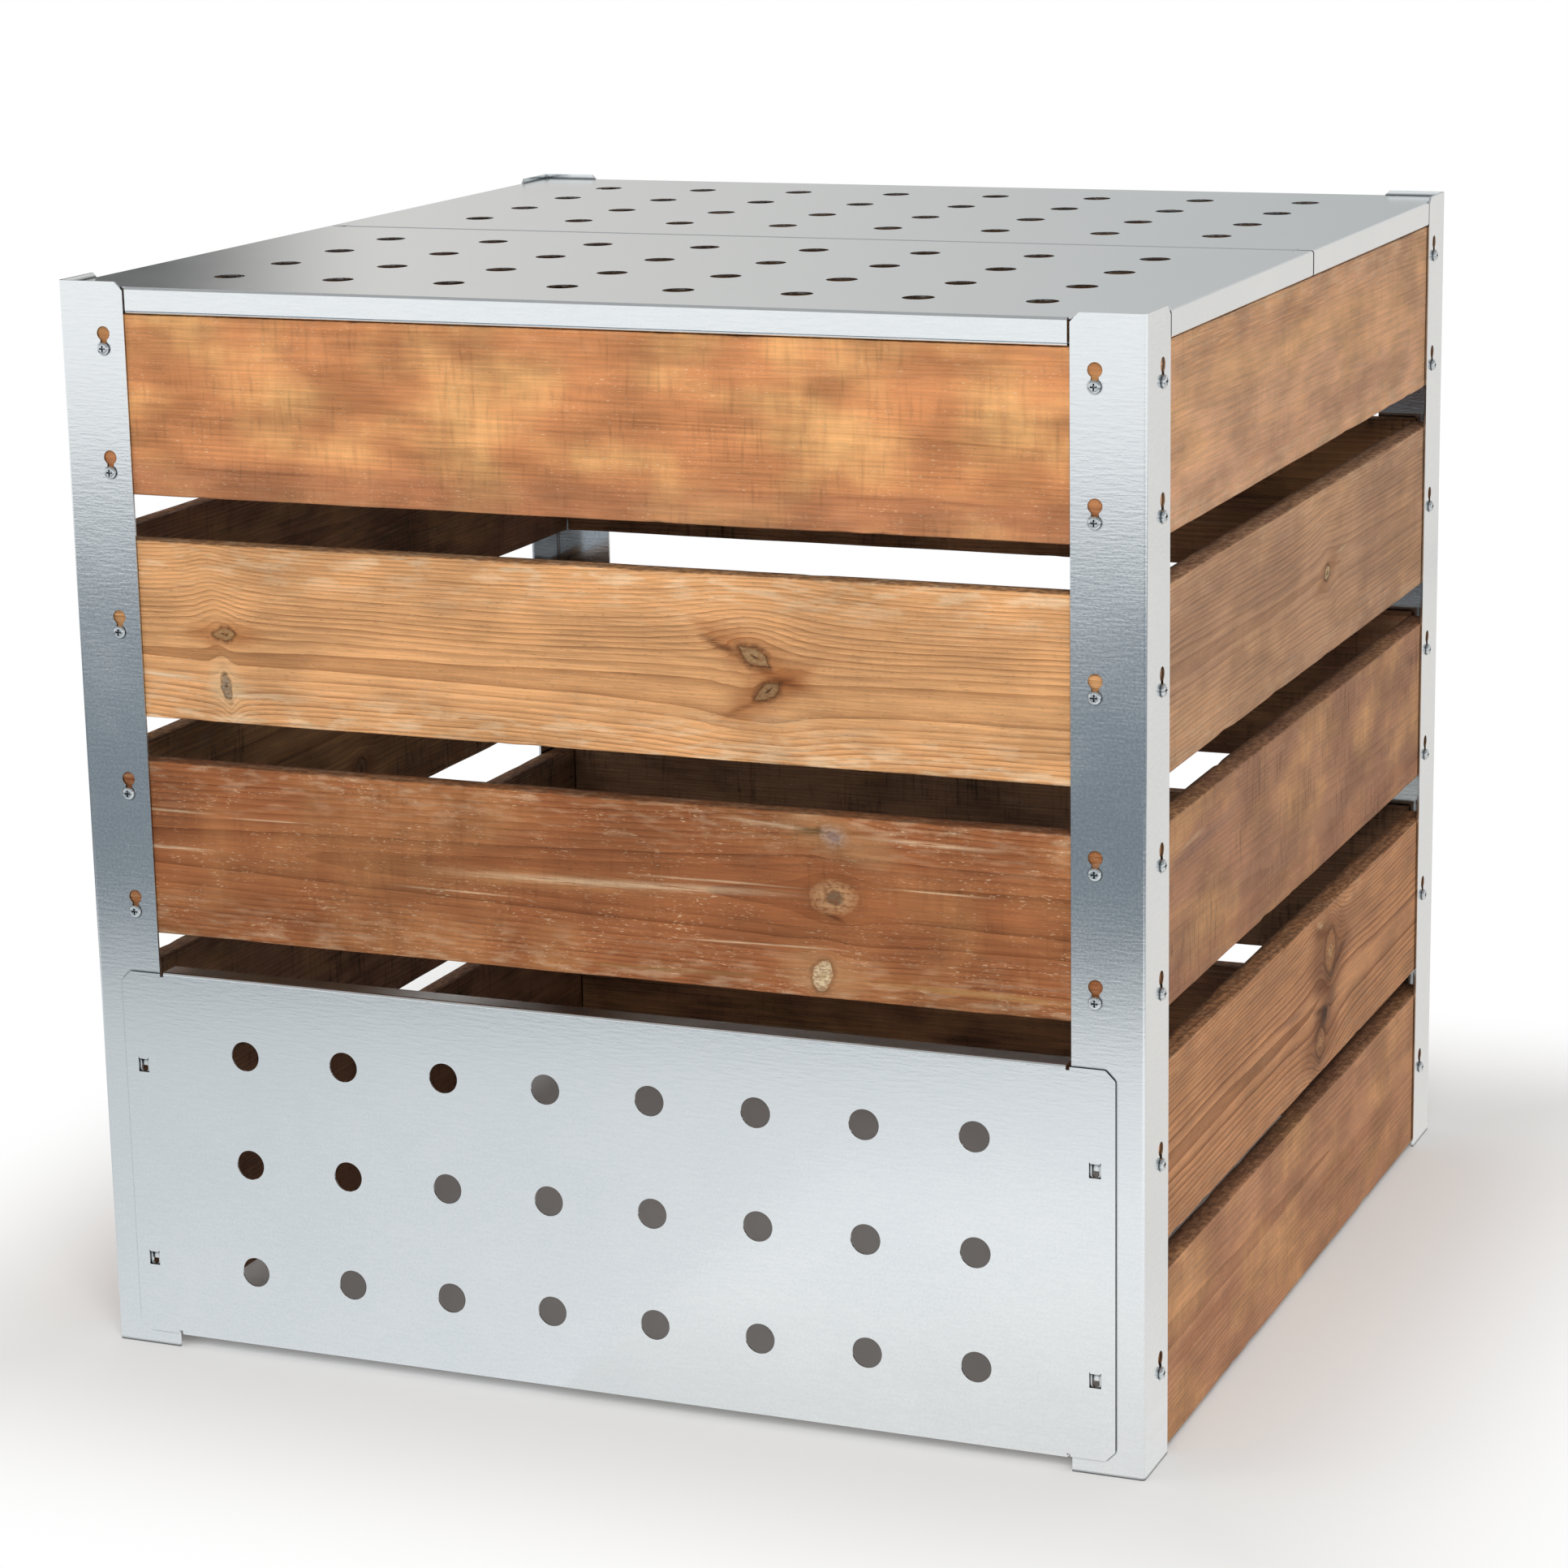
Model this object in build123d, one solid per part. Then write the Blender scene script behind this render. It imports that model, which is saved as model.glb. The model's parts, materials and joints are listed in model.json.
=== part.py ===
"""Compost bin: four galvanised corner posts with keyhole slots, timber boards hooked
between them on screw heads, a perforated hatch low in the front wall and a lid in two
perforated trays. Millimetres. The origin is on the ground at the middle of the plan,
+Z is up and the front faces -Y."""

import os
from math import sqrt

from build123d import *

# Plan, over the outer faces of the post flanges
bin_width = 900.0
bin_depth = 900.0

# Corner posts: equal angles bent from sheet
post_sheet = 2.0
post_flange = 58.0
post_bend = 1.0  # inside radius of the fold
post_corner_cut = 7.0  # chamfer on the free upper corner of each flange
post_proud = 4.0  # how far a post stands above the lid

# Boards, numbered from the top down
board_height = 145.0
board_thickness = 20.0
board_round = 1.5  # eased long edges
board_end_gap = 1.0  # from a board's end to the boards of the next wall
gap_below_board_1 = 36.0
gap_below_board_2 = 36.0
gap_below_board_3 = 41.0
gap_below_board_4 = 23.0
gap_below_board_5 = 4.0  # to the ground
front_board_count = 3  # the hatch takes the place of the others

# Screws that the boards hang on
screw_head_d = 10.0
screw_head_h = 3.2
screw_head_round = 2.0
screw_shank_d = 5.0
screw_tip = 1.5  # chamfer at the end of the shank
screw_cover = 4.0  # wood left behind the end of a screw
recess_length = 5.4  # cross recess in the head
recess_width = 1.3
recess_depth = 1.8
pilot_clearance = 0.1
screw_from_top = 28.0  # upper screw of a board with two
screw_from_bottom = 18.0  # lower screw of a board with two
screw_below_middle = 3.0  # screw of a board with one

# Keyhole slots in the posts: a round entry with a narrow slot below it
keyhole_inset = 39.0  # from the outer corner of the post
keyhole_d = 11.5
keyhole_slot = 6.0
keyhole_drop = 12.0  # from the middle of the entry to the middle of a hooked screw
keyhole_seat_gap = 0.1  # under a hooked screw

# Lid: two trays with a turned-in lower edge that lies on the top boards
lid_sheet = 1.5
lid_bend = 1.0
lid_rim = 21.0
lid_return = 15.0
lid_split = 3.0  # gap between the two trays
lid_post_gap = 2.0  # from the end of a rim to a post flange
lid_corner_gap = 0.5  # from a corner of the tray to the inside of a post
lid_corner_cut = 3.0
lid_seat_gap = 0.2
lid_hole_d = 25.0
lid_columns = 8
lid_rows = 4
lid_pitch_across = 98.0
lid_pitch_back = 93.0

# Hatch: a plate with lips turned in at its top and bottom, hooked on the front posts
hatch_sheet = 1.5
hatch_bend = 1.0
hatch_side_inset = 23.0  # from the outer corner of a post to the edge of the hatch
hatch_head_gap = 32.0  # below the lowest front board
hatch_ground_gap = 11.0
hatch_lip = 20.0
hatch_lip_gap = 4.0  # from the end of a lip to a post flange
hatch_ear_step = 1.5  # how far the ears stop short of the folds
hatch_notch = 3.0  # relief cut between an ear and a lip
hatch_corner_cut = 8.0
hatch_corner_round = 3.0
hatch_face_gap = 0.2  # between the hatch and the flanges, in front and behind
hatch_hole_d = 25.0
hatch_columns = 8
hatch_rows = 3
hatch_pitch_across = 90.0
hatch_pitch_up = 93.0
hook_width = 8.0
hook_height = 7.6
hook_seat_gap = 0.3
hook_slit = 0.75  # cut beside the hook in its window
hook_window = 12.3
hook_round = 2.5

# Heights that follow from the sizes above
gaps_below = (
    gap_below_board_1,
    gap_below_board_2,
    gap_below_board_3,
    gap_below_board_4,
    gap_below_board_5,
)
board_count = len(gaps_below)
board_bottoms = [
    sum(gaps_below[index:]) + (board_count - 1 - index) * board_height
    for index in range(board_count)
]
boards_top = board_bottoms[0] + board_height
lid_foot = boards_top + lid_seat_gap
lid_top = lid_foot + lid_rim
post_height = lid_top + post_proud
hatch_bottom = hatch_ground_gap
hatch_top = board_bottoms[front_board_count - 1] - hatch_head_gap

# How deep a screw goes, from the outer face of the flange
screw_reach = post_sheet + board_thickness - screw_cover

# Boards that have two screws at each end; the others have one
two_screw_boards = (0, 2)

# Walls: how far each is turned, its length, its distance from the middle and its boards.
# In a wall's own frame X runs along it, its outer face is at Y = 0 and +Y points inwards.
walls = {
    "front": (0, bin_width, bin_depth / 2, front_board_count),
    "right": (90, bin_depth, bin_width / 2, board_count),
    "back": (180, bin_width, bin_depth / 2, board_count),
    "left": (270, bin_depth, bin_width / 2, board_count),
}

# Posts: how far each is turned and the corner that it stands at
posts = {
    "front_right": (0, bin_width / 2, -bin_depth / 2),
    "back_right": (90, bin_width / 2, bin_depth / 2),
    "back_left": (180, -bin_width / 2, bin_depth / 2),
    "front_left": (270, -bin_width / 2, -bin_depth / 2),
}


def screw_heights(index):
    """Heights of the screws at each end of a board, from the top down."""
    bottom = board_bottoms[index]
    if index in two_screw_boards:
        return [bottom + board_height - screw_from_top, bottom + screw_from_bottom]
    return [bottom + board_height / 2 - screw_below_middle]


def all_heights(indexes):
    """Heights of the screws at each end of several boards."""
    return [z for index in indexes for z in screw_heights(index)]


def block(x, y, z):
    """A box from three (low, high) pairs."""
    spans = (x, y, z)
    middle = [(low + high) / 2 for low, high in spans]
    return Pos(*middle) * Box(*[high - low for low, high in spans])


def about(middle, width):
    """The (low, high) pair of a width centred on middle."""
    return (middle - width / 2, middle + width / 2)


def bar(radius, z, y):
    """A round bar along Y at height z, from a (low, high) pair."""
    foot = Plane((0, y[0], z), x_dir=(1, 0, 0), z_dir=(0, 1, 0))
    return extrude(foot * Circle(radius), y[1] - y[0])


def hole_grid(plane, pitch_x, pitch_y, columns, rows, diameter, depth):
    """Cutters for a grid of round holes centred on a plane."""
    holes = Sketch() + GridLocations(pitch_x, pitch_y, columns, rows) * Circle(diameter / 2)
    return extrude(plane * holes, depth)


def make_keyhole():
    """Cutter for the hole that a screw at X = 0, Z = 0 hooks into, through a flange at Y = 0."""
    through = (-post_sheet, 2 * post_sheet)
    slot_end = (keyhole_slot - screw_shank_d) / 2 - keyhole_seat_gap
    entry = bar(keyhole_d / 2, keyhole_drop, through)
    slot_foot = bar(keyhole_slot / 2, slot_end, through)
    slot = block(about(0, keyhole_slot), through, (slot_end, keyhole_drop))
    return entry + slot_foot + slot


def make_post():
    """One post with its outer corner at the origin, its flanges along -X and +Y."""
    f, s = post_flange, post_sheet
    angle = make_face(Polyline((0, 0), (0, f), (-s, f), (-s, s), (-f, s), (-f, 0), close=True))
    angle = fillet(angle.vertices().sort_by_distance((0, 0, 0))[0], post_bend + s)
    angle = fillet(angle.vertices().sort_by_distance((-s, s, 0))[0], post_bend)
    post = extrude(angle, post_height)

    free_corner = Plane((-f, -s, post_height), x_dir=(1, 0, 0), z_dir=(0, 1, 0))
    c = post_corner_cut
    corner = extrude(free_corner * make_face(Polyline((0, 0), (c, 0), (0, c), close=True)), 3 * s)
    keyhole = make_keyhole()
    cuts = [Pos(-keyhole_inset, 0, z) * keyhole for z in all_heights(range(board_count))]
    cuts.append(corner)

    # The other flange has the same cuts, mirrored in the plane that halves the angle
    halving = Plane((0, 0, 0), z_dir=(1, 1, 0))
    return post - cuts - [mirror(cut, about=halving) for cut in cuts]


def make_board(length, index, screw_x):
    """One board in its wall's own frame, with the pilot holes of its screws."""
    bottom = board_bottoms[index]
    inside = (post_sheet, post_sheet + board_thickness)
    board = block(about(0, length), inside, (bottom, bottom + board_height))
    board = fillet(board.edges().filter_by(Axis.X), board_round)
    pilot = bar(screw_shank_d / 2 + pilot_clearance, 0, (0, screw_reach + pilot_clearance))
    return board - [Pos(x, 0, z) * pilot for x in (-screw_x, screw_x) for z in screw_heights(index)]


def make_screw():
    """One screw at X = 0, Z = 0, its head against the outside of a flange at Y = 0."""
    head = bar(screw_head_d / 2, 0, (-screw_head_h, 0))
    head = fillet(head.edges().group_by(Axis.Y)[0], screw_head_round)
    shank = bar(screw_shank_d / 2, 0, (0, screw_reach))
    shank = chamfer(shank.edges().group_by(Axis.Y)[-1], screw_tip)
    sunk = (-2 * screw_head_h, recess_depth - screw_head_h)
    level = block(about(0, recess_length), sunk, about(0, recess_width))
    upright = block(about(0, recess_width), sunk, about(0, recess_length))
    return head + shank - level - upright


def edge_profile(depth, reach, sheet, bend, returned):
    """Section of a folded edge. X is inwards from its outer face, Y is up from its foot.
    Its web is depth tall, and its upper leg, and a returned lower leg, are reach wide."""
    outside = Pos(reach / 2, depth / 2) * Rectangle(reach, depth)
    foot = sheet if returned else -sheet
    room = depth - sheet - foot
    inside = Pos(sheet + reach / 2, foot + room / 2) * Rectangle(reach, room)
    folds = (1, 0) if returned else (1,)
    for fold in folds:
        outer = outside.vertices().sort_by_distance((0, fold * depth, 0))[0]
        outside = fillet(outer, bend + sheet)
        inner = inside.vertices().sort_by_distance((sheet, foot + fold * room, 0))[0]
        inside = fillet(inner, bend)
    return outside - inside


def folded_edge(profile, start, inwards, length):
    """A folded edge that runs from start, with inwards pointing away from its outer face."""
    run = Vector(*inwards).cross(Vector(0, 0, 1))
    return extrude(Plane(start, x_dir=inwards, z_dir=run) * profile, length)


def make_front_lid():
    """The front tray of the lid. Its back edge is at the middle of the bin."""
    half_w, half_d = bin_width / 2, bin_depth / 2
    back = -lid_split / 2
    rim = edge_profile(lid_rim, lid_return, lid_sheet, lid_bend, True)
    drop = edge_profile(lid_rim, lid_return, lid_sheet, lid_bend, False)

    # The corners of the plate reach into the posts, and the rims run between the posts
    corner_x = half_w - post_sheet - lid_corner_gap
    corner_y = half_d - post_sheet - lid_corner_gap
    level = (lid_top - lid_sheet, lid_top)
    plate = block((-corner_x, corner_x), (-corner_y, back - lid_return / 2), level)
    plate = chamfer(plate.edges().filter_by(Axis.Z).group_by(Axis.Y)[0], lid_corner_cut)

    rim_x = half_w - post_flange - lid_post_gap
    drop_x = half_w - lid_return - lid_corner_gap
    side_start = -(half_d - post_flange - lid_post_gap)
    side_length = back - side_start
    tray = plate
    tray += folded_edge(rim, (-rim_x, -half_d, lid_foot), (0, 1, 0), 2 * rim_x)
    tray += folded_edge(rim, (half_w, side_start, lid_foot), (-1, 0, 0), side_length)
    tray += folded_edge(rim, (-half_w, back, lid_foot), (1, 0, 0), side_length)
    tray += folded_edge(drop, (drop_x, back, lid_foot), (0, -1, 0), 2 * drop_x)

    under = Plane((0, (back - half_d) / 2, lid_top - 2 * lid_sheet))
    return tray - hole_grid(
        under, lid_pitch_across, lid_pitch_back, lid_columns, lid_rows, lid_hole_d, 3 * lid_sheet
    )


def make_hook(entry_z):
    """A hook of the hatch at X = 0 that sits in the round entry of a keyhole, and its window."""
    seat = entry_z - sqrt((keyhole_d / 2) ** 2 - (hook_width / 2) ** 2) + hook_seat_gap
    top = seat + hatch_sheet
    outer = -hatch_face_gap - hatch_sheet
    behind = post_sheet + hatch_face_gap
    neck = block(about(0, hook_width), (outer, behind), (seat, top))
    neck = fillet(neck.edges().filter_by(Axis.X).group_by(Axis.Z)[0].sort_by(Axis.Y)[0], hatch_bend)
    leg = block(about(0, hook_width), (behind, behind + hatch_sheet), (top - hook_height, top))
    leg = fillet(leg.edges().filter_by(Axis.Y).group_by(Axis.Z)[0], hook_round)
    leg = fillet(leg.edges().filter_by(Axis.X).group_by(Axis.Z)[-1].sort_by(Axis.Y)[-1], hatch_bend)
    through = (outer - hatch_sheet, hatch_sheet)
    window = block(about(0, hook_width + 2 * hook_slit), through, (top - hook_window, top))
    return neck + leg, window


def make_ear(side, root, outer):
    """The flat end of the hatch that laps over a post: side is -1 on the left, 1 on the right."""
    face = (outer, outer + hatch_sheet)
    edge = bin_width / 2 - hatch_side_inset
    low, high = hatch_bottom + hatch_ear_step, hatch_top - hatch_ear_step
    ear = block(sorted((side * root, side * edge)), face, (low, high))
    ear = chamfer(ear.edges().filter_by(Axis.Y).sort_by(Axis.X, reverse=side > 0)[:2], hatch_corner_cut)
    ear = fillet(ear.edges().filter_by(Axis.Y).sort_by(Axis.X, reverse=side > 0)[:4], hatch_corner_round)
    notch_x = sorted((side * root, side * (root + hatch_notch)))
    notch_z = hatch_sheet + hatch_bend + hatch_ear_step
    ear -= block(notch_x, face, (hatch_bottom, hatch_bottom + notch_z))
    ear -= block(notch_x, face, (hatch_top - notch_z, hatch_top))
    return ear


def make_hatch():
    """The hatch in the front wall's own frame."""
    outer = -hatch_face_gap - hatch_sheet
    height = hatch_top - hatch_bottom
    root = bin_width / 2 - post_flange - hatch_lip_gap
    section = edge_profile(height, hatch_lip, hatch_sheet, hatch_bend, True)
    hatch = folded_edge(section, (-root, outer, hatch_bottom), (0, 1, 0), 2 * root)
    hatch = hatch + make_ear(-1, root, outer) + make_ear(1, root, outer)

    middle = Plane((0, outer - hatch_sheet, hatch_bottom + height / 2), x_dir=(1, 0, 0), z_dir=(0, 1, 0))
    hatch -= hole_grid(
        middle, hatch_pitch_across, hatch_pitch_up, hatch_columns, hatch_rows, hatch_hole_d, 3 * hatch_sheet
    )
    hook_x = bin_width / 2 - keyhole_inset
    for z in all_heights(range(front_board_count, board_count)):
        hook, window = make_hook(z + keyhole_drop)
        for x in (-hook_x, hook_x):
            hatch = hatch - Pos(x, 0, 0) * window + Pos(x, 0, 0) * hook
    return hatch


def save(shape, name):
    """Writes one piece to its own file."""
    export_step(shape, f"parts/{name}.step")


def save_wall(name, turn, length, distance, count):
    """Writes the boards of one wall and the group of screws that hold them."""
    place = Rot(0, 0, turn) * Pos(0, -distance, 0)
    board_length = length - 2 * (post_sheet + board_thickness + board_end_gap)
    screw_x = length / 2 - keyhole_inset
    for index in range(count):
        save(place * make_board(board_length, index, screw_x), f"{name}_board_{index + 1}")
    screw = make_screw()
    spots = [(x, z) for x in (-screw_x, screw_x) for z in all_heights(range(count))]
    save(Compound(children=[place * Pos(x, 0, z) * screw for x, z in spots]), f"screws_{name}")


os.makedirs("parts", exist_ok=True)

post = make_post()
for corner, (turn, x, y) in posts.items():
    save(Pos(x, y, 0) * Rot(0, 0, turn) * post, f"{corner}_post")

for name, wall in walls.items():
    save_wall(name, *wall)

save(Pos(0, -bin_depth / 2, 0) * make_hatch(), "hatch")

lid = make_front_lid()
save(lid, "lid_front")
save(Rot(0, 0, 180) * lid, "lid_rear")
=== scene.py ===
"""Looks of the compost bin: rough sawn boards, galvanised sheet, zinc plated screws and a plain studio."""

import json
import math
import random
from typing import NamedTuple

import bmesh
import bpy
from bpy.props import FloatProperty, FloatVectorProperty, IntProperty, PointerProperty
from mathutils import Matrix, Vector, noise


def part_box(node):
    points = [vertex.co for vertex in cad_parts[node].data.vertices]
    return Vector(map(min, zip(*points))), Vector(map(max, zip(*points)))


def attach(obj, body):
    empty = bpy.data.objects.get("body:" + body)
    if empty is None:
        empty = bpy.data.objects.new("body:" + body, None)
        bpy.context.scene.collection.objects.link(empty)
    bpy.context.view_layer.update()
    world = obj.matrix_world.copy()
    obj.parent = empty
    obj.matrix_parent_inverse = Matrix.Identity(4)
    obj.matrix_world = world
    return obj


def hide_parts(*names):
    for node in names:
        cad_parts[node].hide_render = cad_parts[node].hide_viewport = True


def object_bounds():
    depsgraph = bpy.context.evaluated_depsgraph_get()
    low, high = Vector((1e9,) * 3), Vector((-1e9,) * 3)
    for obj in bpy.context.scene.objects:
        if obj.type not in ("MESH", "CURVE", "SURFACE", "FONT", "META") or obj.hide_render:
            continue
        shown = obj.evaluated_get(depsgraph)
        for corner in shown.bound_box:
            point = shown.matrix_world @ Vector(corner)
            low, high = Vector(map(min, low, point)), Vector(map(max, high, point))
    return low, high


bl_info = {
    "name": "Compost Bin",
    "version": (1, 0, 0),
    "blender": (4, 5, 0),
    "location": "3D View > Sidebar > Compost Bin",
    "description": "Saws the boards, coats the sheet steel and lights the compost bin",
    "category": "Object",
}

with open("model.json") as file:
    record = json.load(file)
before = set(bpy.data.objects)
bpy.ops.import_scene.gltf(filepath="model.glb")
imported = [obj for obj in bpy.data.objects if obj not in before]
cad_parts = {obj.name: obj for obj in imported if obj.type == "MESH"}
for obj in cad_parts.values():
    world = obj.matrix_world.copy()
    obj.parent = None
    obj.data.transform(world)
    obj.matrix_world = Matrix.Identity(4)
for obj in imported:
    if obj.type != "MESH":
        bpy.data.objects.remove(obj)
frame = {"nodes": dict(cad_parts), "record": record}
CAD_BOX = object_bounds()
BODIES = frame["record"]["behaviour"]["bodies"]
BODY_OF = {node: body for body, nodes in BODIES.items() for node in nodes}
MM = 0.001

# Each wall's turn about Z: a board is made with its outer face towards -Y, as it lies in the front wall.
WALL_TURNS = {"front": 0, "right": 90, "back": 180, "left": 270}


class Knot(NamedTuple):
    """A knot on a board's face: its place from the board's middle, its half height, shape and colours.

    Lengths are in millimetres and its turn in degrees. Stretch is its length over its height. A tip of 1
    draws it out to two points like an almond, and 2 leaves it oval. The core fills that share of its radius,
    and the bark is how dark the line round it is, from 0 to 1.
    """

    along: float
    up: float
    radius: float
    stretch: float = 1.4
    turn: float = 0.0
    tip: float = 2.0
    heart: str = "#A98660"
    core: str = "#7A5636"
    halo: str = "#8A5230"
    core_share: float = 0.26
    bark: float = 0.8


class Stroke(NamedTuple):
    """A narrow mark along the grain, such as torn fibre or resin, with its lengths in millimetres.

    It runs from start to end at that height, rises by that much on the way and covers the wood that far.
    """

    start: float
    end: float
    up: float
    width: float
    rise: float = 0.0
    colour: str = "#E9CBA6"
    cover: float = 0.6


class Look(NamedTuple):
    """A board's colour, its pith's place in millimetres, its traits from 0 to 1, its strokes and knots."""

    colour: str
    rings: float = 0.4
    pith_depth: float = 40.0
    pith_up: float = 0.0
    patches: float = 0.1
    kerf: float = 0.1
    fuzz: float = 0.3
    bloom: float = 0.1
    foot: float = 0.0
    strokes: tuple = ()
    knots: tuple = ()


RESIN = "#7A4522"
DARK_RESIN = "#5A3218"

# The boards that face the viewer.
FACING_LOOKS = {
    "front_board_1": Look(
        "#D28E5D", rings=0.3, pith_depth=60, pith_up=40, patches=1.0, kerf=0.55, fuzz=0.7, foot=0.8,
        strokes=(
            Stroke(-420, -180, -47, 1.6, -3, "#8A5636", 0.5),
            Stroke(-60, 240, 6, 1.4, -6, "#A0663C", 0.45),
            Stroke(150, 425, 2, 1.6, -8, "#A0663C", 0.5),
            Stroke(60, 425, -44, 2.0, -5, "#8E5738", 0.5),
        ),
    ),
    "front_board_2": Look(
        "#E6AD77", rings=0.85, pith_depth=22, pith_up=-12, patches=0.1, fuzz=0.3, bloom=0.9,
        strokes=(
            Stroke(92, 134, 24, 5.5, -15, DARK_RESIN, 0.75),
            Stroke(134, 182, 4, 5.0, -16, RESIN, 0.7),
            Stroke(140, 176, -18, 4.0, 15, RESIN, 0.7),
            Stroke(112, 152, -36, 4.0, 16, RESIN, 0.5),
            Stroke(-420, -320, -34, 3.0, -6, "#E8D2B2", 0.7),
            Stroke(-330, -250, -50, 3.0, 4, "#E8D2B2", 0.5),
        ),
        knots=(
            Knot(-317, 0, 6, 1.6, 0, 1.3, heart="#AE8A5E", core="#4A3524", halo="#B06C38"),
            Knot(-317, -42, 11, 0.42, 8, 1.3, heart="#8A7A68", core="#3E3129", halo="#D9B78C"),
            Knot(140, 10, 7, 2.2, -28, 1.0, heart="#A98B63", core="#4A3220", halo="#9C5A2C"),
            Knot(151, -16, 6.5, 2.0, 32, 1.0, heart="#9C7D57", core="#46301E", halo="#9C5A2C"),
        ),
    ),
    "front_board_3": Look(
        "#9F633D", rings=0.8, pith_depth=45, pith_up=10, patches=0.2, kerf=0.35, fuzz=0.5, bloom=0.45,
        strokes=(
            Stroke(-190, 120, 1, 11.0, 3, "#C2905F", 0.5),
            Stroke(-150, 190, 2, 4.5, 4),
            Stroke(20, 186, 12, 1.3, -1),
            Stroke(-180, -60, -12, 1.2),
            Stroke(-428, -330, 33, 1.6),
            Stroke(-428, -330, 4, 2.6, -1),
            Stroke(-330, -230, 31, 0.9),
            Stroke(215, 345, 55, 3.0, -3, cover=0.5),
            Stroke(100, 200, 62, 2.4, -6, cover=0.5),
            Stroke(60, 225, -33, 1.2),
            Stroke(235, 335, 16, 1.2),
            Stroke(215, 420, -58, 4.0, -2, "#C79A5E", 0.6),
            Stroke(-60, 190, -62, 3.0, 3, "#8F7A4A", 0.4),
            Stroke(168, 204, 56, 5.0, 1, "#54401F", 0.85),
            Stroke(188, 214, -4, 3.0, -9, DARK_RESIN, 0.8),
            Stroke(206, 245, 57, 2.6, 2, RESIN, 0.6),
            Stroke(165, 205, -8, 6.0, 6, RESIN, 0.5),
        ),
        knots=(
            Knot(203, 56, 11, 1.3, -18, heart="#A98C78", core="#8C7770", halo="#B08258", bark=0.1),
            Knot(202, 8, 16, 1.4, heart="#C0946A", core="#7A624A", halo="#A8683F", bark=0.2),
            Knot(192, -54, 13, 0.70, -12, heart="#D6C29E", core="#B7A07C", halo="#B08258", bark=0.5),
        ),
    ),
    "right_board_1": Look(
        "#E4AF87", rings=0.35, pith_depth=70, pith_up=-30, patches=0.5, kerf=0.3, fuzz=1.0, bloom=0.5,
        strokes=(
            Stroke(-520, 260, 58, 24.0, -14, "#B07C5C", 0.45),
            Stroke(-520, 420, 18, 26.0, 16, "#EAB47C", 0.5),
            Stroke(-500, 520, -48, 26.0, 10, "#BE8A70", 0.45),
        ),
    ),
    "right_board_2": Look(
        "#C99B78", rings=0.6, pith_depth=20, pith_up=5, patches=0.2, kerf=0.2, fuzz=0.4, bloom=0.3,
        strokes=(Stroke(85, 130, 8, 3.0, 4, "#D9BC94", 0.6),),
        knots=(Knot(63, -2, 6, 1.7, 20, 1.2, heart="#CDB387", core="#7A6240", halo="#A8754D"),),
    ),
    "right_board_3": Look(
        "#B98767", rings=0.35, pith_depth=60, pith_up=-30, patches=0.55, kerf=0.9, fuzz=0.4, foot=0.7,
        strokes=(
            Stroke(-420, -200, 34, 9.0, 6, "#8A6A62", 0.5),
            Stroke(-360, -290, 42, 3.0, 3, "#D9B592", 0.6),
        ),
    ),
    "right_board_4": Look(
        "#D3986B", rings=1.0, pith_depth=35, pith_up=-5, fuzz=0.3, bloom=0.2,
        strokes=(
            Stroke(20, 96, 64, 12.0, -16, RESIN, 0.7),
            Stroke(30, 100, 8, 14.0, -14, RESIN, 0.75),
            Stroke(84, 150, 6, 9.0, 26, DARK_RESIN, 0.7),
            Stroke(30, 84, -12, 6.0, -8, DARK_RESIN, 0.8),
            Stroke(40, 66, 66, 5.0, -6, "#DDB98C", 0.8),
            Stroke(110, 215, 18, 7.0, 12, "#8C6552", 0.45),
            Stroke(-90, 20, 6, 6.0, -8, "#8C6552", 0.4),
        ),
        knots=(
            Knot(88, 30, 21, 0.9, 0, 1.5, heart="#BC8556", core="#D2A878", halo="#7A4A2E", bark=0.6),
            Knot(58, -44, 14, 1.1, 0, 1.6, heart="#B47F55", core="#CB9F72", halo="#7A4A2E", bark=0.6),
            Knot(70, -22, 8, 1.3, 20, 1.3, heart="#3C2C28", core="#2C2226", halo="#5E3A28", bark=0.5),
        ),
    ),
    "right_board_5": Look(
        "#CC946E", rings=0.6, pith_depth=50, pith_up=20, patches=0.5, kerf=0.3,
        strokes=(
            Stroke(-420, -150, -12, 16.0, 6, "#94593C", 0.4),
            Stroke(-60, 330, -20, 14.0, 18, "#94593C", 0.4),
            Stroke(-250, 120, 22, 8.0, 8, "#A06A4A", 0.35),
        ),
    ),
}


def linear(colour):
    """An sRGB hex colour as the linear red, green, blue and alpha that Blender works in."""
    parts = [int(colour[i:i + 2], 16) / 255 for i in (1, 3, 5)]
    return (*[p / 12.92 if p <= 0.04045 else ((p + 0.055) / 1.055) ** 2.4 for p in parts], 1.0)


def between(first, second, share):
    """The colour or point at that share of the way from the first to the second."""
    return tuple(a + (b - a) * share for a, b in zip(first, second))


def add(tree, kind, inputs=(), out=None, stops=(), **settings):
    """Adds a shader node with its settings, inputs by place or name as values or links, and a ramp's stops.

    Returns the named output, or the first one in use, or nothing for a node without outputs.
    """
    node = tree.nodes.new("ShaderNode" + kind)
    for key, value in settings.items():
        setattr(node, key, value)
    for key, value in inputs.items() if isinstance(inputs, dict) else enumerate(inputs):
        if isinstance(value, bpy.types.NodeSocket):
            tree.links.new(value, node.inputs[key])
        else:
            node.inputs[key].default_value = value
    for number, (place, colour) in enumerate(stops):
        ramp = node.color_ramp.elements
        stop = ramp[number] if number < 2 else ramp.new(place)
        stop.position = place
        stop.color = colour
    return node.outputs[out] if out else next((socket for socket in node.outputs if socket.enabled), None)


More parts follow.
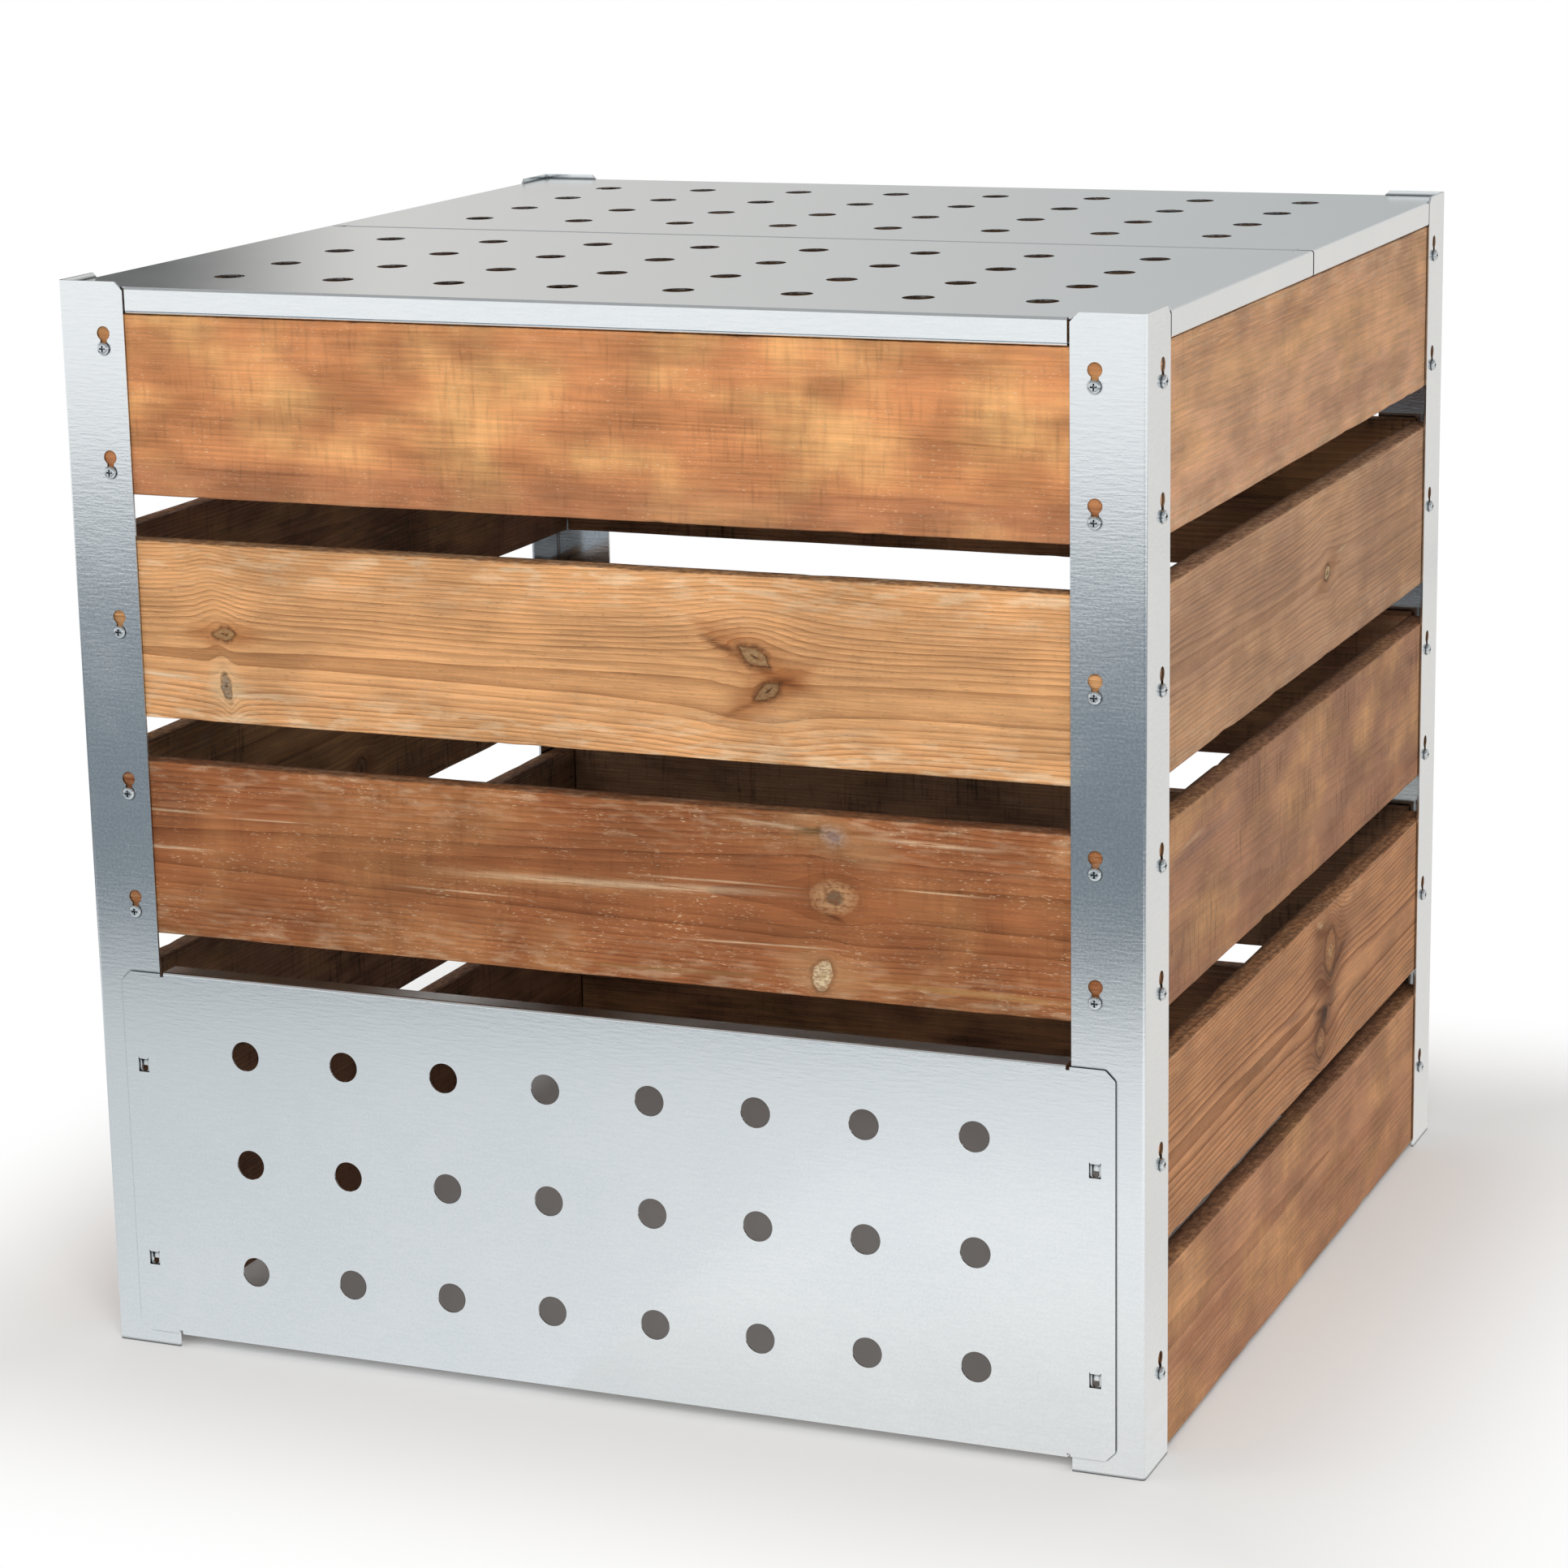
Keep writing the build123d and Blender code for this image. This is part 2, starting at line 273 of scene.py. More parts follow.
def new_material(name):
    """An empty node material, and the place on the piece in millimetres to draw it by."""
    material = bpy.data.materials.new(name)
    material.use_nodes = True
    tree = material.node_tree
    tree.nodes.clear()
    metres = add(tree, "TexCoord", out="Object")
    place = add(tree, "VectorMath", [metres, (1 / MM,) * 3], operation="MULTIPLY")
    return material, tree, place


def grain(tree, place, size, detail=2.0, low=0.0, high=1.0):
    """Noise with spots of that size in millimetres along x, y and z, spread from low to high over 0 to 1."""
    scaled = add(tree, "VectorMath", [place, tuple(1 / s for s in size)], operation="MULTIPLY")
    value = add(tree, "TexNoise", {"Vector": scaled, "Scale": 1.0, "Detail": detail})
    return add(tree, "MapRange", [value, low, high], interpolation_type="SMOOTHSTEP")


def weighted_sum(tree, *terms):
    """The sum of the given values, each times its weight."""
    total = 0.0
    for value, weight in terms:
        total = add(tree, "Math", [value, weight, total], operation="MULTIPLY_ADD")
    return total


def finish_surface(tree, colour, roughness, height, **constants):
    """Ends a material: its shader takes the colour and roughness, and the height in millimetres as bumps."""
    bumps = add(tree, "Bump", {"Height": height, "Distance": MM, "Strength": 1.0})
    links = {"Base Color": colour, "Roughness": roughness, "Normal": bumps}
    shader = add(tree, "BsdfPrincipled", {**links, **constants})
    add(tree, "OutputMaterial", {"Surface": shader})


def knot_marks(tree, place, ragged, knots, rim):
    """How far the rings give way to knots, in millimetres, and the knots' halos and hearts with covers."""
    bend = 0.0
    halos = []
    hearts = []
    for knot in knots:
        away = add(tree, "VectorMath", [place, (knot.along, 0, knot.up)], operation="SUBTRACT")
        turned = add(
            tree, "VectorRotate", {"Vector": away, "Angle": math.radians(knot.turn)}, rotation_type="Y_AXIS"
        )
        sizes = (1 / (knot.radius * knot.stretch), 0, 1 / knot.radius)
        shares = add(tree, "VectorMath", [turned, sizes], operation="MULTIPLY")
        parts = add(tree, "SeparateXYZ", [add(tree, "VectorMath", [shares], operation="ABSOLUTE")], out="X")
        along = add(tree, "Math", [parts, parts], operation="MULTIPLY")
        over = add(tree, "Math", [parts.node.outputs["Z"], knot.tip], operation="POWER")
        almond = add(tree, "Math", [along, over], operation="ADD")
        outside = add(tree, "Math", [almond, 1.0], operation="MAXIMUM")
        height = add(tree, "SeparateXYZ", [away], out="Z")
        give = add(tree, "Math", [height, outside], operation="DIVIDE")
        bend = add(tree, "Math", [give, bend], operation="ADD")

        # Resinous wood runs out along the grain, farther than up and down.
        draw_out = 0.16
        drawn = add(tree, "Math", [along, draw_out, over], operation="MULTIPLY_ADD")
        cover = add(tree, "MapRange", [drawn, 0.3, 3.6, 0.6, 0.0], interpolation_type="SMOOTHSTEP")
        halos.append((linear(knot.halo), cover))

        # The knot's own wood, with its core at the middle, inside a thin broken line of bark. The stops
        # stand at half their share of the radius, because the bark reaches past the knot.
        heart = linear(knot.heart)
        core = linear(knot.core)
        shaded = between(heart, rim, 0.2 * knot.bark)
        core_end = knot.core_share / 2
        heart_end = max(0.22 + 0.2 * knot.bark, core_end + 0.1)
        shaded_cover = 0.2 + 0.75 * knot.bark
        reach = add(tree, "Math", [almond, 0.5], operation="POWER")
        halves = add(tree, "Math", [reach, 0.5], operation="MULTIPLY")
        mark = add(
            tree, "ValToRGB", [halves],
            stops=(
                (0.0, (*core[:3], 0.95)),
                (1.0, (*rim[:3], 0.0)),
                (core_end, (*core[:3], 0.95)),
                (core_end + 0.09, (*heart[:3], 0.9)),
                (heart_end, (*heart[:3], 0.9)),
                (0.43, (*shaded[:3], shaded_cover)),
                (0.48, (*rim[:3], knot.bark)),
                (0.54, (*rim[:3], knot.bark * 0.6)),
                (0.66, (*rim[:3], 0.0)),
            ),
        )
        worn = add(tree, "VectorMath", {"Vector": mark, "Scale": ragged}, operation="SCALE")
        broken = add(tree, "Math", [mark.node.outputs["Alpha"], ragged], operation="MULTIPLY")
        hearts.append((worn, broken))
    return bend, halos, hearts


def stroke_marks(tree, x, z, frayed, strokes):
    """The colours of the strokes and their covers, which thin out at the ends and fray at the sides."""
    marks = []
    for stroke in strokes:
        run = stroke.end - stroke.start
        taper = run * 0.35
        slope = stroke.rise / run
        level = add(tree, "Math", [x, slope, stroke.up - slope * stroke.start], operation="MULTIPLY_ADD")
        off = add(tree, "Math", [z, level], operation="SUBTRACT")
        apart = add(tree, "Math", [off], operation="ABSOLUTE")
        body = add(
            tree, "MapRange", [apart, 0.0, stroke.width, stroke.cover, 0.0], interpolation_type="SMOOTHSTEP"
        )
        starts = add(tree, "MapRange", [x, stroke.start, stroke.start + taper])
        ends = add(tree, "MapRange", [x, stroke.end, stroke.end - taper])
        along = add(tree, "Math", [starts, ends], operation="MULTIPLY")
        whole = add(tree, "Math", [body, along], operation="MULTIPLY")
        marks.append((linear(stroke.colour), add(tree, "Math", [whole, frayed], operation="MULTIPLY")))
    return marks


def impregnated_pine(name, look, pine, half_height, rng):
    """Pine, rough from the band saw and pressure impregnated brown.

    The eye gets dark late wood lines that give way to knots, saw marks across the grain, pale torn fibres
    and uneven stain, all of it dull. Fibres and pores are drawn twice as coarse as real so that they show.
    """
    material, tree, place = new_material(name)
    log = tuple(rng.uniform(-5000, 5000) for _ in range(3))
    drift = add(tree, "VectorMath", [place, log], operation="ADD")

    # Fibres, frayed and torn ones, pores and saw marks.
    fibre = grain(tree, drift, (55, 3.0, 1.7), detail=4.0, low=0.30, high=0.70)
    frayed = grain(tree, drift, (40, 3.0, 1.2), detail=2.0, low=0.30, high=0.50)
    flecks = grain(tree, drift, (5, 2.0, 1.0), detail=2.0, low=0.61, high=0.72)
    clusters = grain(tree, drift, (42, 20, 18), detail=2.0, low=0.40, high=0.60)
    fuzz = add(tree, "Math", [flecks, clusters], operation="MULTIPLY")
    pores = grain(tree, drift, (6, 2.0, 1.0), detail=1.0, low=0.64, high=0.76)
    dashes = grain(tree, drift, (pine.kerf_spacing / MM, 60, 34), detail=2.0, low=0.50, high=0.74)
    sawn = grain(tree, drift, (95, 60, 48), detail=2.0, low=0.38, high=0.60)
    kerf = add(tree, "Math", [dashes, sawn], operation="MULTIPLY")

    # Knots have ragged outlines with lobes of some millimetres, and the rings flow round them.
    lobe = 11
    throw = 7
    scatter = add(tree, "TexNoise", {"Vector": drift, "Scale": 1 / lobe, "Detail": 3.0}, out="Color")
    shift = add(tree, "VectorMath", [scatter, (throw,) * 3, (-throw / 2,) * 3], operation="MULTIPLY_ADD")
    loose = add(tree, "VectorMath", [place, shift], operation="ADD")
    gaps = grain(tree, drift, (4, 4, 2.2), detail=4.0, low=0.36, high=0.56)
    ragged = add(tree, "MapRange", [gaps, 0.0, 1.0, 0.55, 1.0])
    bend, halos, hearts = knot_marks(tree, loose, ragged, look.knots, pine.knot_rim)

    # Growth rings about a pith behind the board, which runs a little out of line with it.
    ring = pine.ring_spacing / MM
    pith_slope = rng.uniform(-0.012, 0.012)
    parts = add(tree, "SeparateXYZ", [place], out="X")
    x, y, z = (parts.node.outputs[axis] for axis in "XYZ")
    waver = grain(tree, drift, (320, 60, 90), detail=1.0)
    ripple = grain(tree, drift, (60, 12, 12), detail=1.0)
    side = weighted_sum(tree, (z, 1.0), (bend, -1.0), (waver, 9.0), (ripple, 1.6), (1.0, -look.pith_up))
    depth = weighted_sum(tree, (y, -1.0), (x, pith_slope), (1.0, look.pith_depth))
    across = add(tree, "CombineXYZ", [0.0, depth, side])
    radius = add(tree, "VectorMath", [across], operation="LENGTH", out="Value")
    count = add(tree, "Math", [radius, ring], operation="DIVIDE")
    number = add(tree, "Math", [count], operation="FLOOR")
    phase = add(tree, "Math", [count], operation="FRACT")
    strength = add(tree, "TexWhiteNoise", {"W": number}, noise_dimensions="1D", out="Value")
    strong = add(tree, "Math", [strength, 0.55, 0.45], operation="MULTIPLY_ADD")
    steep = add(tree, "Math", [phase, 2.2], operation="POWER")
    late = add(tree, "Math", [steep, strong], operation="MULTIPLY")

    # Stain that went in unevenly, in soft patches drawn out across the board by the saw, and a darker foot.
    cloud = grain(tree, drift, (105, 60, 62), detail=2.5, low=0.42, high=0.66)
    drawn = grain(tree, drift, (10, 60, 55), detail=3.0, low=0.30, high=0.65)
    streaked = add(tree, "MapRange", [drawn, 0.0, 1.0, 0.6, 1.0])
    patch = add(tree, "Math", [cloud, streaked], operation="MULTIPLY")
    stain = grain(tree, drift, (90, 60, 45), detail=4.0, low=0.32, high=0.68)
    foot = add(
        tree, "MapRange", [z, -half_height * 0.5, -half_height * 0.72], interpolation_type="SMOOTHSTEP"
    )

    # Whitish bloom towards both edges.
    off_middle = add(tree, "Math", [z], operation="ABSOLUTE")
    rim = add(tree, "MapRange", [off_middle, half_height * 0.35, half_height * 0.95])
    mottle = grain(tree, drift, (26, 8, 6), detail=5.0, low=0.46, high=0.68)
    bloom = add(tree, "Math", [rim, mottle], operation="MULTIPLY")

    ground = linear(look.colour)
    line = tuple(part * shade for part, shade in zip(ground, pine.late_shade))
    lining = add(tree, "Math", [late, look.rings], operation="MULTIPLY")
    wood = add(tree, "Mix", {0: lining, 6: ground, 7: line}, data_type="RGBA")
    gold = add(tree, "Math", [patch, look.patches * 0.8], operation="MULTIPLY")
    wood = add(tree, "Mix", {0: gold, 6: wood, 7: pine.thin_stain}, data_type="RGBA")
    low = add(tree, "Math", [foot, look.foot * 0.6], operation="MULTIPLY")
    wood = add(tree, "Mix", {0: low, 6: wood, 7: pine.deep_stain}, data_type="RGBA")
    pale = weighted_sum(tree, (fuzz, look.fuzz * 0.95), (bloom, look.bloom * 0.6))
    wood = add(tree, "Mix", {0: pale, 6: wood, 7: pine.torn_fibre}, data_type="RGBA")
    wander = weighted_sum(tree, (z, 1.0), (waver, 8.0), (1.0, -4.0))
    strokes = stroke_marks(tree, x, wander, frayed, look.strokes)
    for mark, cover in halos + strokes + hearts:
        wood = add(tree, "Mix", {0: cover, 6: wood, 7: mark}, data_type="RGBA")
    # Painted shade: the inner face of each board, from 4 mm behind the outer face, is drawn darker, standing
    # in for the shade inside the bin.
    inside = add(tree, "MapRange", [y, 4.0, 8.0])
    lines = 0.28 - 0.12 * look.kerf
    blotches = 0.26 + 0.18 * look.patches
    even = 0.99 - lines / 2 - blotches / 2
    # The wood's brightness: its real tone from fibres, stain, saw marks and pores, and the painted shade on
    # the inner face.
    light = weighted_sum(
        tree, (1.0, even), (fibre, lines), (stain, blotches), (kerf, -0.34 * look.kerf), (pores, -0.22),
        (inside, -0.5),
    )
    wood = add(tree, "VectorMath", {"Vector": wood, "Scale": light}, operation="SCALE")

    # The narrow top and bottom are coarser sawn and darker, with crumbs.
    facing = add(tree, "SeparateXYZ", [add(tree, "TexCoord", out="Normal")], out="Z")
    level = add(tree, "Math", [facing], operation="ABSOLUTE")
    edge = add(tree, "MapRange", [level, 0.35, 0.85])
    crumbs = grain(tree, drift, (7, 5, 5), detail=4.0, low=0.35, high=0.65)
    dull = add(tree, "MapRange", [crumbs, 0.0, 1.0, 0.35, 0.75])
    crumbly = add(tree, "Math", [edge, dull], operation="MULTIPLY")
    wood = add(tree, "Mix", {0: crumbly, 6: wood, 7: pine.sawn_edge}, data_type="RGBA")

    rough_edge = add(tree, "Math", [edge, crumbs], operation="MULTIPLY")
    height = weighted_sum(
        tree, (late, 0.08), (fibre, 0.16), (kerf, -0.12 * look.kerf), (fuzz, 0.25 * look.fuzz),
        (rough_edge, 0.8),
    )
    roughness = add(tree, "MapRange", [fibre, 0.0, 1.0, 0.70, 0.90])
    finish_surface(tree, wood, roughness, height, **{"Specular IOR Level": pine.gloss})
    return material


def painted_crevice_shade(tree, reach):
    """Where shade is painted: 1 where another surface stands within that reach in metres, as between sheets,
    and 0 in the open.
    """
    open_share = add(tree, "AmbientOcclusion", {"Distance": reach}, out="AO", samples=8)
    return add(tree, "MapRange", [open_share, 0.84, 0.56])


def galvanised_sheet(name, sheet, rolling):
    """Sheet steel, hot dip galvanised and rolled flat along the axes named in rolling.

    The eye gets a pale blue grey metal that mirrors the room softly, speckled by fine zinc crystals, with
    short streaks and faint rub marks along the rolling direction, a little wavy, and painted shade in narrow
    gaps.
    """
    material, tree, place = new_material(name)
    crystal = sheet.spangle / MM
    streak_size = [(sheet.streak_length if axis in rolling else sheet.streak_width) / MM for axis in "xyz"]
    rub_size = [(sheet.rub_length if axis in rolling else sheet.rub_width) / MM for axis in "xyz"]
    speckle = grain(tree, place, (crystal, crystal, crystal), detail=3.0, low=0.3, high=0.7)
    streak = grain(tree, place, streak_size, detail=3.0, low=0.3, high=0.7)
    cloud = grain(tree, place, (160, 160, 160), detail=1.0, low=0.3, high=0.7)
    smear = grain(tree, place, (45, 45, 45), detail=4.0, low=0.45, high=0.75)
    rub = grain(tree, place, rub_size, detail=1.0, low=0.70, high=0.78)

    tone = weighted_sum(tree, (speckle, 0.45), (streak, 0.20), (cloud, 0.20), (smear, 0.15))
    zinc = add(tree, "Mix", {0: tone, 6: sheet.dull_zinc, 7: sheet.bright_zinc}, data_type="RGBA")
    marked = add(tree, "Math", [rub, 0.25], operation="MULTIPLY")
    zinc = add(tree, "Mix", {0: marked, 6: zinc, 7: sheet.rubbed_zinc}, data_type="RGBA")
    # Painted shade: the zinc is drawn dark where other sheets stand near, as in the gap round the hatch.
    gap = painted_crevice_shade(tree, sheet.gap_reach)
    zinc = add(tree, "Mix", {0: gap, 6: zinc, 7: sheet.painted_gap_shade}, data_type="RGBA")
    roughness = weighted_sum(
        tree, (1.0, sheet.roughness), (speckle, 0.05), (cloud, 0.02), (smear, 0.02), (rub, 0.08)
    )
    height = weighted_sum(tree, (cloud, 0.10), (speckle, 0.008), (streak, 0.016))
    finish_surface(tree, zinc, roughness, height, Metallic=1.0)
    return material


def zinc_plated_steel(name, screws):
    """Steel screws, cold headed and bright zinc plated: blue white and shiny, with shade painted dark in the
    cross recess and under the head.
    """
    material, tree, place = new_material(name)
    plate = grain(tree, place, (1.5, 1.5, 1.5), detail=2.0, low=0.3, high=0.7)
    zinc = add(tree, "Mix", {0: plate, 6: screws.dull_plate, 7: screws.bright_plate}, data_type="RGBA")
    recess = painted_crevice_shade(tree, screws.recess_reach)
    # Painted shade: the plate is drawn dark in the cross recess and under the head.
    zinc = add(tree, "Mix", {0: recess, 6: zinc, 7: screws.painted_recess_shade}, data_type="RGBA")
    roughness = weighted_sum(tree, (1.0, screws.roughness), (plate, 0.1))
    height = weighted_sum(tree, (plate, 0.02))
    finish_surface(tree, zinc, roughness, height, Metallic=1.0)
    return material


def board_outline(half_thick, half_high, arrises):
    """A board's section as points anticlockwise from the lower outer arris, with a radius for each arris."""
    face_steps = 9
    edge_steps = 3
    arris_steps = 2
    corners = ((-1, -1, 180), (1, -1, 270), (1, 1, 0), (-1, 1, 90))
    arcs = []
    for (side, end, start), radius in zip(corners, arrises):
        middle_y = side * (half_thick - radius)
        middle_z = end * (half_high - radius)
        arc = []
        for step in range(arris_steps + 1):
            angle = math.radians(start + 90 * step / arris_steps)
            arc.append((middle_y + radius * math.cos(angle), middle_z + radius * math.sin(angle)))
        arcs.append(arc)
    outline = []
    for corner, arc in enumerate(arcs):
        next_arc = arcs[(corner + 1) % len(arcs)]
        steps = edge_steps if corner % 2 == 0 else face_steps
        outline += arc
        outline += [between(arc[-1], next_arc[0], step / steps) for step in range(1, steps)]
    return outline


def sawn_board(name, size, pine, rng):
    """A rough sawn board within its stock size: wavering faces and worn arrises with a few chips."""
    length, thick, high = size
    wear_run = 50 * MM
    edge_run = 90 * MM
    face_run = 120 * MM
    face_rise = 50 * MM
    # Places in the noise that make the arrises, the opposite faces and the edges differ.
    next_arris = 7.3
    other_side = 50
    edge_row = 3.1
    stations = round(length / pine.station_spacing)
    seed = rng.uniform(0, 1000)
    # Each arris's chips: their places along it, half lengths and depths.
    chips = [
        [
            (rng.uniform(-0.5, 0.5) * length, rng.uniform(5, 16) * MM, rng.uniform(0.6, 2.4) * MM)
            for _ in range(pine.chips_per_arris)
        ]
        for _ in range(4)
    ]
    mesh = bmesh.new()
    rows = []
    for station in range(stations + 1):
        x = (station / stations - 0.5) * length
        arrises = []
        for corner in range(4):
            wear = 0.5 + 0.5 * noise.noise(Vector((x / wear_run, seed, corner * next_arris)))
            bite = sum(depth * math.exp(-((x - at) / half) ** 2) for at, half, depth in chips[corner])
            arrises.append(pine.arris * (0.5 + wear) + bite)
        row = []
        for y, z in board_outline(thick / 2, high / 2, arrises):
            face = seed + (y > 0) * other_side
            edge = seed + (z > 0) * other_side
            sunk = 0.5 + 0.5 * noise.noise(Vector((x / face_run, z / face_rise, face)))
            low = 0.5 + 0.5 * noise.noise(Vector((x / edge_run, edge, edge_row)))
            y *= 1 - pine.waver * sunk / (thick / 2)
            z *= 1 - pine.waver * 2 * low / (high / 2)
            row.append(mesh.verts.new((x, y, z)))
        rows.append(row)
    for first, second in zip(rows, rows[1:]):
        for i in range(len(first)):
            j = (i + 1) % len(first)
            mesh.faces.new((first[i], first[j], second[j], second[i]))
    mesh.faces.new(rows[0])
    mesh.faces.new(rows[-1])
    bmesh.ops.recalc_face_normals(mesh, faces=mesh.faces)
    data = bpy.data.meshes.new(name)
    mesh.to_mesh(data)
    mesh.free()
    data.shade_smooth()
    data.set_sharp_from_angle(angle=math.radians(50))
    board = bpy.data.objects.new(name, data)
    bpy.context.scene.collection.objects.link(board)
    return board


def drawn_look(rng):
    """The look of a board that faces away from the viewer, drawn at random within what the others show."""
    knots = tuple(
        Knot(
            along=rng.uniform(-360, 360), up=rng.uniform(-55, 55), radius=rng.uniform(5, 12),
            stretch=rng.uniform(0.7, 1.8),
        )
        for _ in range(rng.randint(0, 3))
    )
    strokes = []
    for _ in range(rng.randint(0, 4)):
        start = rng.uniform(-400, 250)
        end = start + rng.uniform(60, 300)
        strokes.append(Stroke(start, end, up=rng.uniform(-60, 60), width=rng.uniform(1, 4)))
    return Look(
        colour=rng.choice([look.colour for look in FACING_LOOKS.values()]),
        rings=rng.uniform(0.25, 0.9),
        pith_depth=rng.uniform(22, 70),
        pith_up=rng.uniform(-40, 40),
        patches=rng.uniform(0.1, 0.6),
        kerf=rng.uniform(0.05, 0.8),
        fuzz=rng.uniform(0.2, 0.7),
        bloom=rng.uniform(0.0, 0.6),
        foot=rng.uniform(0.0, 0.5),
        strokes=tuple(strokes),
        knots=knots,
    )


def coat(nodes, material):
    """Gives the CAD nodes that material."""
    for name in nodes:
        piece = frame["nodes"][name]
        if not piece.material_slots:
            piece.data.materials.append(None)
        for place in piece.material_slots:
            place.material = material


def nodes_named(start="", end=""):
    """The frame's nodes whose names start and end so, in order, and an error if there are none."""
    found = sorted(name for name in frame["nodes"] if name.startswith(start) and name.endswith(end))
    if not found:
        raise RuntimeError(f"the frame has no node named {start}...{end}")
    return found


def colour_setting(name, description, colour):
    """A colour to choose, with an sRGB hex value as its default."""
    return FloatVectorProperty(
        name=name, description=description, default=linear(colour), size=4, subtype="COLOR"
    )


def length_setting(name, description, millimetres):
    """A length to choose."""
    return FloatProperty(name=name, description=description, default=millimetres * MM, unit="LENGTH")


class BoardSettings(bpy.types.PropertyGroup):
    """Sizes and colours of the impregnated pine boards."""

    seed: IntProperty(name="Seed", description="Draws another set of logs, chips and wear", default=4)
    ring_spacing: length_setting("Ring spacing", "Width of one year's growth", 3.0)
    kerf_spacing: length_setting("Saw mark spacing", "Distance between saw marks across the board", 4.2)
    arris: length_setting("Arris", "Radius that long edges are worn to", 1.3)
    waver: length_setting("Waver", "How far a sawn face sinks below its stock size", 0.35)
    station_spacing: length_setting(
        "Station spacing", "Distance between the sections that a board is made of", 7
    )
    chips_per_arris: IntProperty(
        name="Chips", description="Chips broken out of each long edge", default=4, min=0
    )
    gloss: FloatProperty(
        name="Gloss", description="Specular level of the dry wood", default=0.25, subtype="FACTOR"
    )
    late_shade: colour_setting(
        "Late wood", "What the dark part of a ring lets through of the board's colour", "#A08870"
    )
    thin_stain: colour_setting("Thin stain", "Golden patches that took little stain", "#F2B979")
    deep_stain: colour_setting("Deep stain", "Band along the foot that took much stain", "#A46C4E")
    torn_fibre: colour_setting("Torn fibre", "Fuzz and bloom", "#EED3AE")
    sawn_edge: colour_setting("Sawn edge", "Crumbs on the top and bottom edges", "#5A3B27")
    knot_rim: colour_setting("Knot rim", "Dark bark line round a knot", "#432816")


class SheetSettings(bpy.types.PropertyGroup):
    """Sizes and colours of the galvanised sheet."""

    spangle: length_setting(
        "Spangle", "Size of the zinc crystals, coarser than real so that they show", 2.0
    )
    streak_length: length_setting(
        "Streak length", "Length of the fine streaks along the rolling direction", 16
    )
    streak_width: length_setting(
        "Streak width", "Width of a fine streak, coarser than real so that it shows", 2.4
    )
    rub_length: length_setting("Rub length", "Length of the rub marks along the rolling direction", 150)
    rub_width: length_setting("Rub width", "Width of a rub mark, coarser than real so that it shows", 1.2)
    roughness: FloatProperty(
        name="Roughness", description="Least roughness of the zinc", default=0.12, subtype="FACTOR"
    )
    # Painted shade: the reach and colour of the shade drawn into narrow gaps between sheets.
    gap_reach: length_setting(
        "Gap reach", "How close sheets stand where the gap between them looks dark", 4
    )
    painted_gap_shade: colour_setting("Gap shade", "Colour of the zinc in narrow gaps", "#33373A")
    dull_zinc: colour_setting("Dull zinc", "Darkest crystals", "#E4EAED")
    bright_zinc: colour_setting("Bright zinc", "Brightest crystals", "#F3F6F7")
    rubbed_zinc: colour_setting("Rubbed zinc", "Rub marks", "#F8FAFA")


class ScrewSettings(bpy.types.PropertyGroup):
    """Colours of the zinc plated screws."""

    roughness: FloatProperty(
        name="Roughness", description="Least roughness of the plate", default=0.2, subtype="FACTOR"
    )
    # Painted shade: the reach and colour of the shade drawn into the recess and under the head.
    recess_reach: length_setting("Recess reach", "How narrow a recess is where it looks dark", 2.5)
    painted_recess_shade: colour_setting(
        "Recess shade", "Colour of the plate in the recess and under the head", "#4A5055"
    )
    dull_plate: colour_setting("Dull plate", "Thin plate", "#C4CBCF")
    bright_plate: colour_setting("Bright plate", "Bright plate", "#E9EEF0")


